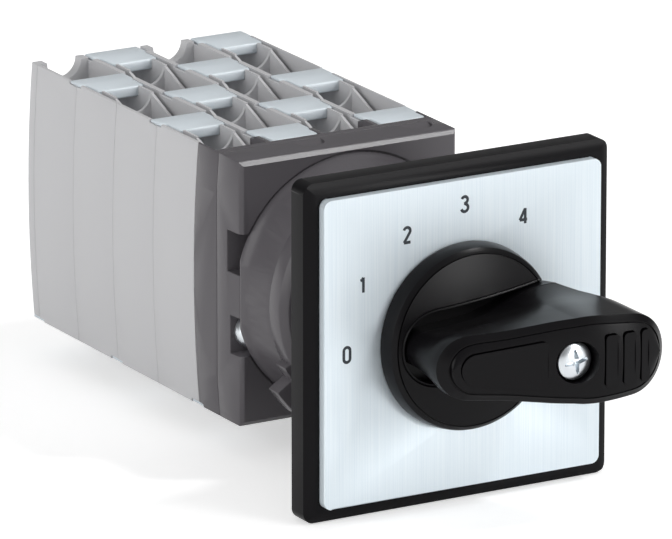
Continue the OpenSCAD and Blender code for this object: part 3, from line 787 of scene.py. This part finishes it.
class CAMSWITCH_OT_screw(bpy.types.Operator):
    """Screw of the grip with its domed head and cross recess"""

    bl_idname = "camswitch.screw"
    bl_label = "Screw"

    def execute(self, context):
        profile = [(0, SHANK_END), (SHANK_R, SHANK_END), (SHANK_R, SEAT), (HEAD_R, SEAT)]
        profile += [(HEAD_R - inset, HEAD_TOP + drop) for inset, drop in HEAD_ROUND] + [(0, HEAD_TOP)]
        bm = carve(turned(profile, SMALL_TURN, SCREW_X), [self.recess(angle) for angle in SLOT_ANGLES])
        bmesh.ops.remove_doubles(bm, verts=bm.verts, dist=SLIVER)
        replace_node(bm, "screw_body", "grip_screw", sharp=math.radians(30))
        return {"FINISHED"}

    def recess(self, angle):
        """Cutter for one slot, which is widest in its middle and narrows with its depth"""
        cos, sin = math.cos(math.radians(angle)), math.sin(math.radians(angle))
        rings = []
        for y, half, reach in RECESS:
            end = SLOT_TAPER * half
            corners = ((-reach, -end), (0, -half), (reach, -end), (reach, end), (0, half), (-reach, end))
            rings.append([(SCREW_X + u * cos - v * sin, y, u * sin + v * cos) for u, v in corners])
        return closed_loft(rings)


# Centre and radius of the circles that bound the grip, along X: at the disc and at the rim
GRIP_WEB = ((-10.3, 3.3), (-4, 3.75), (1.5, 4.5), (6, 5.8), (9.6, 7.2), (12.8, 8.2), (17.8, 8.0))
GRIP_RIM = ((-9, 5.7), (-3.4, 6.1), (1.8, 6.75), (5.6, 7.25), (8.8, 7.55), (11.8, 7.75), (18.2, 7.2))
# Y of the outline at the disc and of the one at the rim
WEB_Y, RIM_Y = -12.3, -21.5
# Points of half an outline along its row of circles and round each of its ends, and the stations before
# and after a point between which the outline's lean is measured there
FLANK_POINTS = 44
END_POINTS = 14
NEAR_BY = 0.02
# Centre and radius of the front's round crown, in X and Y, and where the straight ramp meets it
CROWN = (17.5, -3.4, 29.1)
RAMP_END = 9.0
# Depth under the front at which the flanks end, and the shares of their depth at which they are drawn
EDGE_DROP = 0.75
FLANK_SHARES = (0, 0.08, 0.2, 0.35, 0.5, 0.65, 0.8, 0.92, 1.0)
# Trials that settle where a line of the flank meets the front
TRIALS = 30
# Depth of the flanks' hollow, and the distances from the middle where it begins and where it is full
HOLLOW = 0.35
HOLLOW_FROM, HOLLOW_FULL = 0.5, 4
# Inset and depth under the front of the bevelled band, of the fine line inside it and of the front's edge
BAND = ((0.08, 0.65), (1.0, 0.08), (1.1, 0.0), (1.14, 0.3), (1.36, 0.3), (1.42, 0.0))
# The band is wider at the nose: by this share, from this X on and over this length
NOSE_GAIN, NOSE_FROM, NOSE_LENGTH = 0.45, -8, 6
# Height of the front's middle over its edge, and the shares of its width at which it is drawn
BULGE = 0.55
FRONT_SHARES = (0.86, 0.68, 0.46, 0.2)
# Y before the whole grip, and the overlap of its body with the foot in the disc's pocket
BEFORE_GRIP = -40
FOOT_OVERLAP = 0.3
# (x, y) of the cutter that slopes the grip's back forward beyond the disc, and half its height
BACK = ((13.6, -8), (13.9, -10.4), (17.2, -15.6), (21, -21.4), (23.6, -26.4), (25, -29.2), (25.8, -30.2))
BACK_END = ((40, -30.2), (40, -8))
BACK_HALF = 15
# The panel's round nose: X and radius, and its first and last angle with the steps between them
PANEL_NOSE_X, PANEL_NOSE_R = -8.4, 2.85
PANEL_NOSE_TURN = (98, 262, 16)
# The panel's corners towards the screw: X, distance from the middle and radius
PANEL_X, PANEL_Z, PANEL_CORNER = 2.3, 3.2, 1
# Middle and half width of the thumb grooves along X, half their length and the radius of their corners
GROOVES = ((14.05, 1.25), (17.45, 1.25), (20.6, 0.9))
GROOVE_HALF, GROOVE_CORNER = 4.6, 0.7
# Steps round a quarter of a turn at a corner
CORNER_STEPS = 6
# The panel and the grooves as sunk fields: Y of the face against the front's edge, the face's shift to
# +X and -Z, and the depth of the gap that the shift leaves open
PANEL_SUNK = (-0.42, 0.26, 0.5)
GROOVE_SUNK = (-0.38, 0.36, 0.9)
# How far the block that carries such a face goes into the grip
FIELD_OVERLAP = 0.6


def crown_depth(x):
    """Y of the grip's front: a straight ramp from the nose that runs into a round crown."""
    cx, cy, radius = CROWN
    reach = cx - max(x, RAMP_END)
    rise = math.sqrt(radius**2 - reach**2)
    return cy - rise + max(0, RAMP_END - x) * reach / rise


def along(stations, s):
    """Smooth centre and radius at a place s counted in stations."""
    last = len(stations) - 1
    i = min(int(s), last - 1)
    t = s - i
    four = [stations[min(max(i + k, 0), last)] for k in (-1, 0, 1, 2)]
    # a cubic from one station to the next, with the slopes that their neighbours give
    start, end = 2 * t**3 - 3 * t**2 + 1, 3 * t**2 - 2 * t**3
    leave, arrive = t**3 - 2 * t**2 + t, t**3 - t**2
    return [start * b + leave * (c - a) / 2 + end * c + arrive * (d - b) / 2 for a, b, c, d in zip(*four)]


def grip_outline(stations, inset=0.0):
    """Outline round the row of circles, from the nose over +Z and back, less an inset."""
    last = len(stations) - 1
    places = [last * i / FLANK_POINTS for i in range(FLANK_POINTS + 1)]
    leans = []
    for s in places:
        c0, r0 = along(stations, max(s - NEAR_BY, 0))
        c1, r1 = along(stations, min(s + NEAR_BY, last))
        leans.append(math.acos(max(-1, min(1, -(r1 - r0) / (c1 - c0)))))
    # places along the row with the angle of the outline's point there: the nose, the flank, the far end
    turns = [(0, math.pi + (leans[0] - math.pi) * i / END_POINTS) for i in range(END_POINTS)]
    turns += zip(places, leans)
    turns += [(last, leans[-1] * (1 - i / END_POINTS)) for i in range(1, END_POINTS + 1)]
    upper = []
    for s, a in turns:
        centre, radius = along(stations, s)
        upper.append((centre + (radius - inset) * math.cos(a), (radius - inset) * math.sin(a)))
    upper[0] = (upper[0][0], 0.0)
    upper[-1] = (upper[-1][0], 0.0)
    return upper + [(x, -z) for x, z in reversed(upper[1:-1])]


class CAMSWITCH_OT_grip(bpy.types.Operator):
    """Lever grip with its hollow flanks, bevelled rim, panel, screw hole and thumb grooves"""

    bl_idname = "camswitch.grip"
    bl_label = "Grip"

    def execute(self, context):
        web, rim = grip_outline(GRIP_WEB), grip_outline(GRIP_RIM)
        levels = [self.flank(web, rim, share) for share in FLANK_SHARES]
        levels += self.front(levels[-1], rim)
        bm = bmesh.new()
        first, last = loft(bm, levels)
        cap_across(bm, first)
        cap_across(bm, last)
        bmesh.ops.recalc_face_normals(bm, faces=bm.faces)
        fields = [(self.panel(), *PANEL_SUNK)] + [(self.groove(*place), *GROOVE_SUNK) for place in GROOVES]
        # a whole circle, which ends one step before its first point
        hole = arc(SCREW_X, 0, HOLE_R, 0, 360 - 360 / SMALL_TURN, SMALL_TURN - 1)
        cutters = [slab(hole, BEFORE_GRIP, SEAT), self.behind()]
        cutters += [self.field_cutter(outline, gap) for outline, _, _, gap in fields]
        bm = carve(bm, cutters)
        for outline, face, shift, gap in fields:
            moved = [(x + shift, z - shift) for x, z in outline]
            absorb(bm, self.field_block(moved, face, gap + FIELD_OVERLAP))
        bmesh.ops.remove_doubles(bm, verts=bm.verts, dist=SLIVER)
        foot = slab(web, WEB_Y - FOOT_OVERLAP, POCKET_FLOOR)
        absorb(bm, carve(foot, [self.behind()]))
        replace_node(bm, "grip_body", "lever_grip", sharp=math.radians(17))
        return {"FINISHED"}

    def flank(self, web, rim, part):
        """One ring of the flanks, at a part of the way from the disc to the front"""
        height = WEB_Y - RIM_Y
        points = []
        for (xw, zw), (xr, zr) in zip(web, rim):
            share = 1.0
            for _ in range(TRIALS):
                y_front = crown_depth(xw + (xr - xw) * share) + EDGE_DROP
                share = min((WEB_Y - y_front) / height, 1.0)
            depth = WEB_Y + (y_front - WEB_Y) * part
            share = min((WEB_Y - depth) / height, 1.0)
            hollow = 0.0
            if abs(zr) > HOLLOW_FROM:
                fade = math.copysign(min(1, abs(zr) / HOLLOW_FULL), zr)
                hollow = HOLLOW * math.sin(math.pi * share) * fade
            points.append((xw + (xr - xw) * share, depth, zw + (zr - zw) * share - hollow))
        return points

    def front(self, outer, rim):
        """Rings from the end of the flanks inwards: the band, the fine line and the round front"""
        inner = grip_outline(GRIP_RIM, inset=1.0)
        levels = []
        for inset, drop in BAND:
            points = []
            for (x, _, z), (xi, zi), (xr, zr) in zip(outer, inner, rim):
                nose = max(0, min(1, (NOSE_FROM - xr) / NOSE_LENGTH))
                wide = inset * (1 + NOSE_GAIN * nose)
                px, pz = x + (xi - xr) * wide, z + (zi - zr) * wide
                points.append((px, crown_depth(px) + drop, pz))
            levels.append(points)
        edge = levels[-1]
        for share in FRONT_SHARES:
            levels.append([(x, y - BULGE * (1 - share**2), z * share) for x, y, z in edge])
        return levels

    def behind(self):
        """Cutter for the grip's back"""
        return closed_loft([[(x, y, z) for x, y in BACK + BACK_END] for z in (-BACK_HALF, BACK_HALF)])

    def field_cutter(self, outline, depth):
        """Cutter over an outline, from before the grip to a depth under its front"""
        before = [(x, BEFORE_GRIP, z) for x, z in outline]
        return closed_loft([before, [(x, crown_depth(x) + depth, z) for x, z in outline]])

    def field_block(self, outline, face, bottom):
        """Block that fills a field again, with a face and a bottom that follow the front"""
        return closed_loft([[(x, crown_depth(x) + y, z) for x, z in outline] for y in (face, bottom)])

    def panel(self):
        """Outline of the shallow panel on the ramp"""
        outline = arc(PANEL_NOSE_X, 0, PANEL_NOSE_R, *PANEL_NOSE_TURN)
        for z, start in ((-PANEL_Z, 270), (PANEL_Z, 0)):
            outline += arc(PANEL_X, z, PANEL_CORNER, start, start + 90, CORNER_STEPS)
        return outline

    def groove(self, x, half):
        """Outline of one groove across the crown"""
        outline = []
        for sx, sz, start in ((1, 1, 0), (-1, 1, 90), (-1, -1, 180), (1, -1, 270)):
            corner_x = x + sx * (half - GROOVE_CORNER)
            corner_z = sz * (GROOVE_HALF - GROOVE_CORNER)
            outline += arc(corner_x, corner_z, GROOVE_CORNER, start, start + 90, CORNER_STEPS)
        return outline


# (radius, y) of the groove round the boss
BOSS_GROOVE = ((22.5, 31.6), (22.5, 30.9), (22.9, 30.9), (22.9, 31.6))
# (y, z) of the wedge that is cut off over the front, above and below, and half the wedge's length
CHAMFER = ((30.5, 22.43), (32.5, 24.43), (30.5, 24.43))
CHAMFER_HALF = 30


class CAMSWITCH_OT_base(bpy.types.Operator):
    """Both halves of the base, the front one with its groove and chamfers, and the locking ring"""

    bl_idname = "camswitch.base"
    bl_label = "Base"

    def execute(self, context):
        width = context.scene.cam_switch.edge_width
        cutters = [turned_ring(BOSS_GROOVE, LARGE_TURN)]
        for up in (1, -1):
            ends = (-CHAMFER_HALF, CHAMFER_HALF)
            cutters.append(closed_loft([[(x, y, up * z) for y, z in CHAMFER] for x in ends]))
        soften("base_front", width, cutters=cutters)
        soften("base_rear", width)
        soften("locking_ring", width)
        return {"FINISHED"}


# (radius, y) of a cap nut from its top to its foot, and the (x, z) of the two tie bolts
NUT = ((0, 31.25), (1.3, 31.4), (2.2, 31.85), (2.75, 32.5), (2.95, 33.2), (2.95, 34.4), (0, 34.4))
BOLTS = ((-18.2, -7.5), (18.2, 7.5))


class CAMSWITCH_OT_nuts(bpy.types.Operator):
    """Cap nuts of the tie bolts in the base's side slots"""

    bl_idname = "camswitch.nuts"
    bl_label = "Nuts"

    def execute(self, context):
        nuts = bmesh.new()
        for place in BOLTS:
            absorb(nuts, turned(NUT, SMALL_TURN, *place))
        replace_node(nuts, "cap_nuts", "tie_nuts")
        return {"FINISHED"}


class CAMSWITCH_OT_front(bpy.types.Operator):
    """Front frame and legend plate with their finely rounded edges"""

    bl_idname = "camswitch.front"
    bl_label = "Front"

    def execute(self, context):
        width = context.scene.cam_switch.edge_width
        soften("front_frame", 0.5 * width)
        soften("legend_plate", 1.5 * width)
        return {"FINISHED"}


# Distance from the middle past which only the side walls of the wafers lie, in metres
SIDE_WALL = 21.3 * MM


def on_a_side_wall(edge):
    """Whether an edge bounds a wafer's side wall, where it shows as a seam between the wafers."""
    return all(abs(vert.co.x) > SIDE_WALL for vert in edge.verts)


class CAMSWITCH_OT_wafers(bpy.types.Operator):
    """Terminal covers, contact blocks and the end plate with their rounded edges"""

    bl_idname = "camswitch.wafers"
    bl_label = "Wafers"

    def execute(self, context):
        width = context.scene.cam_switch.edge_width
        for k in (0, *WAFERS):
            soften(f"terminal_covers_{k}", 2 * width, shortest=0.4 * MM, segments=3)
        for node in [f"contact_block_{k}" for k in WAFERS] + ["end_plate"]:
            soften(node, width, shortest=2.0 * MM, keep=on_a_side_wall)
        return {"FINISHED"}


class CAMSWITCH_PT_panel(bpy.types.Panel):
    """The settings and the operators in the 3D view's sidebar"""

    bl_label = "Cam switch"
    bl_idname = "CAMSWITCH_PT_panel"
    bl_space_type = "VIEW_3D"
    bl_region_type = "UI"
    bl_category = "Cam switch"

    def draw(self, context):
        for name in CamSwitchSettings.__annotations__:
            self.layout.prop(context.scene.cam_switch, name)
        for operator in OPERATORS:
            self.layout.operator(operator.bl_idname)


OPERATORS = (
    CAMSWITCH_OT_finishes,
    CAMSWITCH_OT_stage,
    CAMSWITCH_OT_dial,
    CAMSWITCH_OT_disc,
    CAMSWITCH_OT_grip,
    CAMSWITCH_OT_screw,
    CAMSWITCH_OT_base,
    CAMSWITCH_OT_nuts,
    CAMSWITCH_OT_front,
    CAMSWITCH_OT_wafers,
)
CLASSES = (CamSwitchSettings, *OPERATORS, CAMSWITCH_PT_panel)


def register():
    """Makes the settings, the operators and the panel known to Blender."""
    for cls in CLASSES:
        bpy.utils.register_class(cls)
    bpy.types.Scene.cam_switch = PointerProperty(type=CamSwitchSettings)


def unregister():
    """Takes them away again."""
    del bpy.types.Scene.cam_switch
    for cls in reversed(CLASSES):
        bpy.utils.unregister_class(cls)


def main():
    """Runs all operators in their order."""
    register()
    for operator in OPERATORS:
        space, name = operator.bl_idname.split(".")
        getattr(getattr(bpy.ops, space), name)()


if __name__ == "__main__":
    main()
